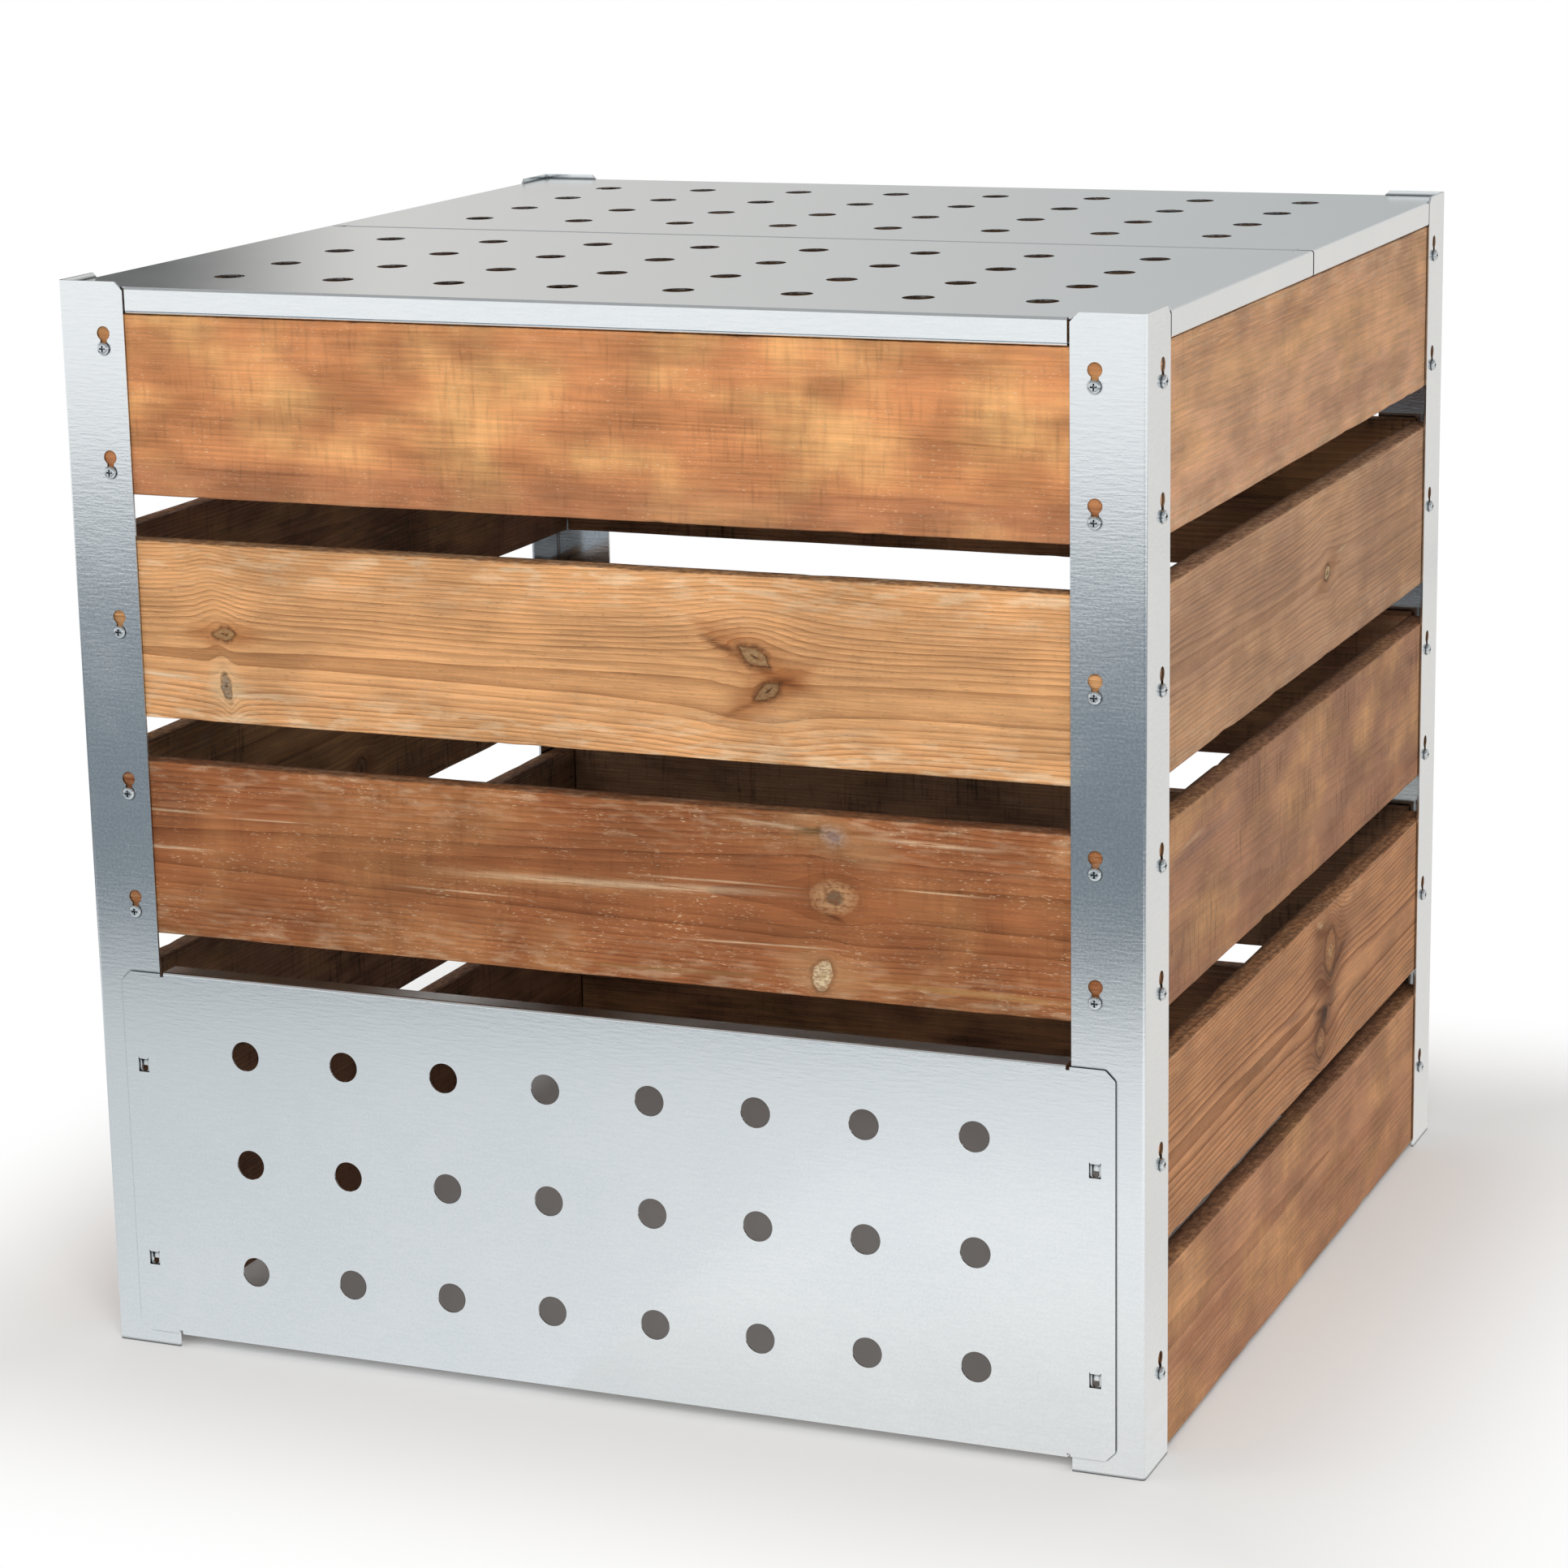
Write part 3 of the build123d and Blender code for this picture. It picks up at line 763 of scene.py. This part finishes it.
class StageSettings(bpy.types.PropertyGroup):
    """Camera, floor and lights."""

    azimuth: FloatProperty(
        name="Azimuth", description="Camera's turn to the right of the front",
        default=math.radians(22.47), subtype="ANGLE",
    )
    elevation: FloatProperty(
        name="Elevation", description="Camera's tilt above the horizon",
        default=math.radians(13.6), subtype="ANGLE",
    )
    roll: FloatProperty(
        name="Roll", description="Camera's turn about its own axis",
        default=math.radians(-1.1), subtype="ANGLE",
    )
    distance: length_setting("Distance", "From the camera to the plane of the bin's middle", 3644)
    aim_right: length_setting("Aim right", "How far right of the bin's middle the camera points", -20)
    aim_up: length_setting("Aim up", "How far above the bin's middle the camera points", -35)
    lens: FloatProperty(name="Lens", description="Focal length in millimetres", default=95.8, unit="CAMERA")
    floor_colour: colour_setting("Floor", "Pale floor", "#EDEBE8")
    floor_radius: length_setting("Floor radius", "Reach of the floor", 7000)
    dark_reach: length_setting(
        "Dark reach", "How far from the middle the floor is as dim as inside the bin", 400
    )
    bare_reach: length_setting("Bare reach", "How far from the middle the floor is seen as it is lit", 460)
    white_reach: length_setting(
        "White reach", "How far from the middle the floor is seen as plain white", 850
    )
    # Painted light: how much whiter the floor inside the bin is drawn than it is lit, standing in for light
    # that comes in through the gaps.
    painted_inner_light: FloatProperty(
        name="Inner glow", description="How white the floor inside the bin is seen, over what lights it",
        default=0.05, subtype="FACTOR",
    )
    glow: FloatProperty(
        name="Glow", description="How white the floor near the bin is seen, over what lights it",
        default=0.18, subtype="FACTOR",
    )
    ambient: FloatProperty(name="Ambient", description="Strength of the world's light", default=0.36)
    ceiling: FloatProperty(
        name="Ceiling", description="How bright the surround is overhead, where metal mirrors it",
        default=0.42, subtype="FACTOR",
    )
    key_power: FloatProperty(
        name="Key light", description="Power of the main light", default=80.0, unit="POWER"
    )
    fill_power: FloatProperty(
        name="Fill light", description="Power of the side light", default=18.0, unit="POWER"
    )
    top_power: FloatProperty(
        name="Top light", description="Power of the overhead light", default=36.0, unit="POWER"
    )
    near_card_dark: colour_setting(
        "Near card, dark end", "Card on the floor that the hatch and the feet mirror", "#BBC1C4"
    )
    near_card_pale: colour_setting(
        "Near card, pale end", "Other end of the card near the hatch", "#FFFFFF"
    )
    front_card_near: colour_setting(
        "Front card, near end", "Card on the floor that the front posts mirror", "#636E77"
    )
    front_card_far: colour_setting(
        "Front card, far end", "Other end of the card in front of the bin", "#949CA3"
    )
    side_card: colour_setting(
        "Side card", "Upright card behind the bin that the right flanges mirror", "#E5E1DD"
    )
    back_card_pale: colour_setting(
        "Back card, pale end", "Upright card behind the bin that the lid mirrors", "#E8E3DE"
    )
    back_card_dark: colour_setting(
        "Back card, dark end", "Other end of the card behind the bin", "#ABB1B3"
    )
    corner_card: colour_setting(
        "Corner card", "Dark upright card that the lid's front left corner mirrors", "#626363"
    )


class CompostBinSettings(bpy.types.PropertyGroup):
    """Everything that can be changed about the looks."""

    boards: PointerProperty(type=BoardSettings)
    sheet: PointerProperty(type=SheetSettings)
    screws: PointerProperty(type=ScrewSettings)
    stage: PointerProperty(type=StageSettings)


class SawBoards(bpy.types.Operator):
    """Saws a rough board for every board of the walls and stains it"""

    bl_idname = "compost_bin.saw_boards"
    bl_label = "Saw Boards"

    def execute(self, context):
        pine = context.scene.compost_bin.boards
        for number, node in enumerate(name for name in nodes_named() if "_board_" in name):
            rng = random.Random(pine.seed * 1000 + number)
            wall = node.split("_")[0]
            low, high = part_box(node)
            span = high - low
            size = (max(span.x, span.y), min(span.x, span.y), span.z)
            board = sawn_board("sawn_" + node, size, pine, rng)
            turn = Matrix.Rotation(math.radians(WALL_TURNS[wall]), 4, "Z")
            board.matrix_world = Matrix.Translation((low + high) / 2) @ turn
            look = FACING_LOOKS.get(node) or drawn_look(rng)
            finish = impregnated_pine("impregnated pine " + node, look, pine, span.z / 2 / MM, rng)
            board.data.materials.append(finish)
            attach(board, BODY_OF[node])
            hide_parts(node)
        return {"FINISHED"}


class CoatPosts(bpy.types.Operator):
    """Galvanises the corner posts"""

    bl_idname = "compost_bin.coat_posts"
    bl_label = "Coat Posts"

    def execute(self, context):
        sheet = context.scene.compost_bin.sheet
        coat(nodes_named(end="_post"), galvanised_sheet("galvanised steel posts", sheet, "xy"))
        return {"FINISHED"}


class CoatHatch(bpy.types.Operator):
    """Galvanises the hatch"""

    bl_idname = "compost_bin.coat_hatch"
    bl_label = "Coat Hatch"

    def execute(self, context):
        sheet = context.scene.compost_bin.sheet
        coat(nodes_named("hatch"), galvanised_sheet("galvanised steel hatch", sheet, "x"))
        return {"FINISHED"}


class CoatLid(bpy.types.Operator):
    """Galvanises both lid trays"""

    bl_idname = "compost_bin.coat_lid"
    bl_label = "Coat Lid"

    def execute(self, context):
        sheet = context.scene.compost_bin.sheet
        coat(nodes_named("lid_"), galvanised_sheet("galvanised steel lid", sheet, "x"))
        return {"FINISHED"}


class PlateScrews(bpy.types.Operator):
    """Zinc plates the screws of all walls"""

    bl_idname = "compost_bin.plate_screws"
    bl_label = "Plate Screws"

    def execute(self, context):
        screws = context.scene.compost_bin.screws
        coat(nodes_named("screws_"), zinc_plated_steel("zinc plated steel", screws))
        return {"FINISHED"}


class Lamp(NamedTuple):
    """A square soft light: its place and side in metres, and the setting that holds its power."""

    place: tuple
    side: float
    power: str


class Card(NamedTuple):
    """A grey card for metal to mirror: its middle, width and height in metres, and the settings of its ends.

    It lies on the floor or stands upright, turned by degrees about its own middle and about the bin's. One
    that follows is turned about the bin's middle as the camera is.
    """

    middle: tuple
    width: float
    height: float
    left: str
    right: str
    turn: float = 0.0
    about: float = 0.0
    upright: bool = False
    follows: bool = False


LAMPS = {
    "key light": Lamp((1.75, -3.3, 2.9), 1.8, "key_power"),
    "fill light": Lamp((-3.0, -2.0, 2.0), 2.4, "fill_power"),
    "top light": Lamp((0.0, 0.0, 3.6), 2.6, "top_power"),
}

# The long cards on the floor overlap at the corners, so they lie at least half a millimetre apart.
CARDS = {
    "near card": Card((-0.35, -1.05, 0.002), 2.5, 2.3, "near_card_dark", "near_card_pale"),
    "front card": Card((-0.1, -2.975, 0.004), 3.3, 8.0, "front_card_near", "front_card_far", turn=-96),
    "right floor card": Card((2.8, 0.0, 0.0005), 2.9, 8.0, "front_card_near", "front_card_far"),
    "back floor card": Card((2.8, 0.0, 0.001), 2.9, 8.0, "front_card_near", "front_card_far", about=90),
    "left floor card": Card((2.8, 0.0, 0.0015), 2.9, 8.0, "front_card_near", "front_card_far", about=180),
    "back card": Card(
        (0.0, 3.6, 1.4), 3.6, 1.2, "back_card_pale", "back_card_dark", upright=True, follows=True
    ),
    "corner card": Card(
        (-1.8, 3.59, 1.4), 2.25, 1.2, "corner_card", "corner_card", upright=True, follows=True
    ),
    "side card": Card((1.75, 3.4, 0.6), 2.4, 3.6, "side_card", "side_card", upright=True),
    "side floor card": Card((1.25, 1.5, 0.002), 2.6, 5.2, "side_card", "side_card"),
}


def sight(tree):
    """1 for what the eye sees directly, and 1 for what it sees by way of metal or glass."""
    path = add(tree, "LightPath").node.outputs
    mirrored = add(tree, "Math", [path["Is Glossy Ray"], path["Is Transmission Ray"]], operation="MAXIMUM")
    return path["Is Camera Ray"], mirrored


def stage_mesh(name, corners):
    """A flat face of the stage with those corners."""
    data = bpy.data.meshes.new(name)
    data.from_pydata(corners, [], [tuple(range(len(corners)))])
    thing = bpy.data.objects.new(name, data)
    bpy.context.scene.collection.objects.link(thing)
    return thing


def make_floor(stage):
    """A wide round pale floor that shows the bin's shadow, is seen as white away from the bin, and has
    painted light on it inside the bin.
    """
    steps = 96
    mottle = (900, 900, 900)
    turns = [math.tau * step / steps for step in range(steps)]
    reach = stage.floor_radius
    floor = stage_mesh("floor", [(reach * math.cos(turn), reach * math.sin(turn), 0) for turn in turns])
    material, tree, place = new_material("matt painted floor")
    shade = grain(tree, place, mottle, detail=1.0)
    paler = between(stage.floor_colour, (1, 1, 1, 1), 0.2)
    paint = add(tree, "Mix", {0: shade, 6: stage.floor_colour, 7: paler}, data_type="RGBA")
    lit = add(tree, "BsdfDiffuse", {"Color": paint})
    white = add(tree, "Emission", {"Color": (1, 1, 1, 1), "Strength": 1.0})
    off = add(tree, "VectorMath", [place], operation="ABSOLUTE")
    parts = add(tree, "SeparateXYZ", [off], out="X").node.outputs
    away = add(tree, "Math", [parts["X"], parts["Y"]], operation="MAXIMUM")
    lift = add(
        tree, "MapRange", [away, stage.bare_reach / MM, stage.white_reach / MM],
        interpolation_type="SMOOTHSTEP",
    )
    # Painted light: the floor inside the bin is seen a little whiter than it is lit, standing in for light
    # through the gaps; away from the bin the floor fades to a plain white backdrop.
    near = add(
        tree, "MapRange", [away, stage.dark_reach / MM, stage.bare_reach / MM, stage.painted_inner_light, stage.glow]
    )
    white_share = add(tree, "MapRange", [lift, 0.0, 1.0, near, 1.0])
    seen = add(tree, "Math", sight(tree), operation="MAXIMUM")
    share = add(tree, "Math", [seen, white_share], operation="MULTIPLY")
    shown = add(tree, "MixShader", [share, lit, white])
    add(tree, "OutputMaterial", {"Surface": shown})
    floor.data.materials.append(material)


def make_card(name, card, stage):
    """A soft edged grey card that only metal mirrors: neither the eye nor the boards see it."""
    full_share = 0.6
    half = (card.width / 2, card.height / 2)
    signs = ((-1, -1), (1, -1), (1, 1), (-1, 1))
    sheet = stage_mesh(name, [(x * half[0], y * half[1], 0) for x, y in signs])
    about = stage.azimuth if card.follows else math.radians(card.about)
    placed = Matrix.Rotation(about, 4, "Z") @ Matrix.Translation(card.middle)
    turned = placed @ Matrix.Rotation(math.radians(card.turn), 4, "Z")
    sheet.matrix_world = turned @ Matrix.Rotation(math.radians(90 if card.upright else 0), 4, "X")
    for ray in ("camera", "diffuse", "transmission", "volume_scatter", "shadow"):
        setattr(sheet, "visible_" + ray, False)
    material, tree, place = new_material(name)
    parts = add(tree, "SeparateXYZ", [place], out="X").node.outputs
    cover = 1.0
    for axis, reach in zip("XY", half):
        off = add(tree, "Math", [parts[axis]], operation="ABSOLUTE")
        fade = add(
            tree, "MapRange", [off, reach * full_share / MM, reach / MM, 1.0, 0.0],
            interpolation_type="SMOOTHSTEP",
        )
        cover = add(tree, "Math", [fade, cover], operation="MULTIPLY")
    across = add(tree, "MapRange", [parts["X"], -half[0] / MM, half[0] / MM])
    left = getattr(stage, card.left)
    right = getattr(stage, card.right)
    grey = add(tree, "Mix", {0: across, 6: left, 7: right}, data_type="RGBA")
    shown = add(
        tree, "MixShader", [cover, add(tree, "BsdfTransparent"), add(tree, "Emission", {"Color": grey})]
    )
    add(tree, "OutputMaterial", {"Surface": shown})
    sheet.data.materials.append(material)


def make_world(stage):
    """A white surround that lights the bin softly, with a grey ceiling for metal to mirror."""
    world = bpy.data.worlds.new("studio")
    bpy.context.scene.world = world
    world.use_nodes = True
    tree = world.node_tree
    tree.nodes.clear()
    direct, mirrored = sight(tree)
    up = add(tree, "SeparateXYZ", [add(tree, "TexCoord", out="Generated")], out="Z")
    horizon = 0.06
    overhead = 0.45
    ceiling = add(
        tree, "MapRange", [up, horizon, overhead, 1.0, stage.ceiling], interpolation_type="SMOOTHSTEP"
    )
    lit = add(tree, "MapRange", [mirrored, 0.0, 1.0, stage.ambient, ceiling])
    strength = add(tree, "MapRange", [direct, 0.0, 1.0, lit, 1.0])
    sky = add(tree, "Background", {"Color": (1, 1, 1, 1), "Strength": strength})
    add(tree, "OutputWorld", {"Surface": sky})


def make_light(name, lamp, stage, aim):
    """A soft light that is pointed at the aim."""
    data = bpy.data.lights.new(name, "AREA")
    data.size = lamp.side
    data.energy = getattr(stage, lamp.power)
    light = bpy.data.objects.new(name, data)
    light.location = lamp.place
    light.rotation_euler = (aim - Vector(lamp.place)).to_track_quat("-Z", "Y").to_euler()
    light.visible_camera = False
    light.visible_glossy = False
    bpy.context.scene.collection.objects.link(light)


def make_camera(stage, middle):
    """The camera at the viewing angle of the photograph."""
    turn, tilt = stage.azimuth, stage.elevation
    back = Vector((math.sin(turn) * math.cos(tilt), -math.cos(turn) * math.cos(tilt), math.sin(tilt)))
    right = Vector((0, 0, 1)).cross(back).normalized()
    up = back.cross(right)
    rolled = Matrix.Rotation(stage.roll, 3, back)
    right, up = rolled @ right, rolled @ up
    data = bpy.data.cameras.new("camera")
    data.lens = stage.lens
    camera = bpy.data.objects.new("camera", data)
    place = middle + right * stage.aim_right + up * stage.aim_up + back * stage.distance
    axes = Matrix((right, up, back)).transposed().to_4x4()
    camera.matrix_world = Matrix.Translation(place) @ axes
    bpy.context.scene.collection.objects.link(camera)
    bpy.context.scene.camera = camera


class SetStage(bpy.types.Operator):
    """Sets the floor, the lights and the camera round the bin"""

    bl_idname = "compost_bin.set_stage"
    bl_label = "Set Stage"

    def execute(self, context):
        stage = context.scene.compost_bin.stage
        low, high = CAD_BOX
        middle = (low + high) / 2
        make_floor(stage)
        make_world(stage)
        for name, lamp in LAMPS.items():
            make_light(name, lamp, stage, middle)
        for name, card in CARDS.items():
            make_card(name, card, stage)
        make_camera(stage, middle)
        context.scene.view_settings.view_transform = "Standard"
        return {"FINISHED"}


class CompostBinPanel(bpy.types.Panel):
    """Lists the steps of dressing the compost bin, each with its settings"""

    bl_idname = "VIEW3D_PT_compost_bin"
    bl_label = "Compost Bin"
    bl_space_type = "VIEW_3D"
    bl_region_type = "UI"
    bl_category = "Compost Bin"

    def draw(self, context):
        settings = context.scene.compost_bin
        for group, operators in (
            (settings.boards, (SawBoards,)),
            (settings.sheet, (CoatPosts, CoatHatch, CoatLid)),
            (settings.screws, (PlateScrews,)),
            (settings.stage, (SetStage,)),
        ):
            box = self.layout.box()
            for operator in operators:
                box.operator(operator.bl_idname)
            for name in group.__annotations__:
                box.prop(group, name)


CLASSES = (
    BoardSettings,
    SheetSettings,
    ScrewSettings,
    StageSettings,
    CompostBinSettings,
    SawBoards,
    CoatPosts,
    CoatHatch,
    CoatLid,
    PlateScrews,
    SetStage,
    CompostBinPanel,
)


def register():
    for made in CLASSES:
        bpy.utils.register_class(made)
    bpy.types.Scene.compost_bin = PointerProperty(type=CompostBinSettings)


def unregister():
    del bpy.types.Scene.compost_bin
    for made in reversed(CLASSES):
        bpy.utils.unregister_class(made)


def main():
    register()
    bpy.ops.compost_bin.saw_boards()
    bpy.ops.compost_bin.coat_posts()
    bpy.ops.compost_bin.coat_hatch()
    bpy.ops.compost_bin.coat_lid()
    bpy.ops.compost_bin.plate_screws()
    bpy.ops.compost_bin.set_stage()


if __name__ == "__main__":
    main()
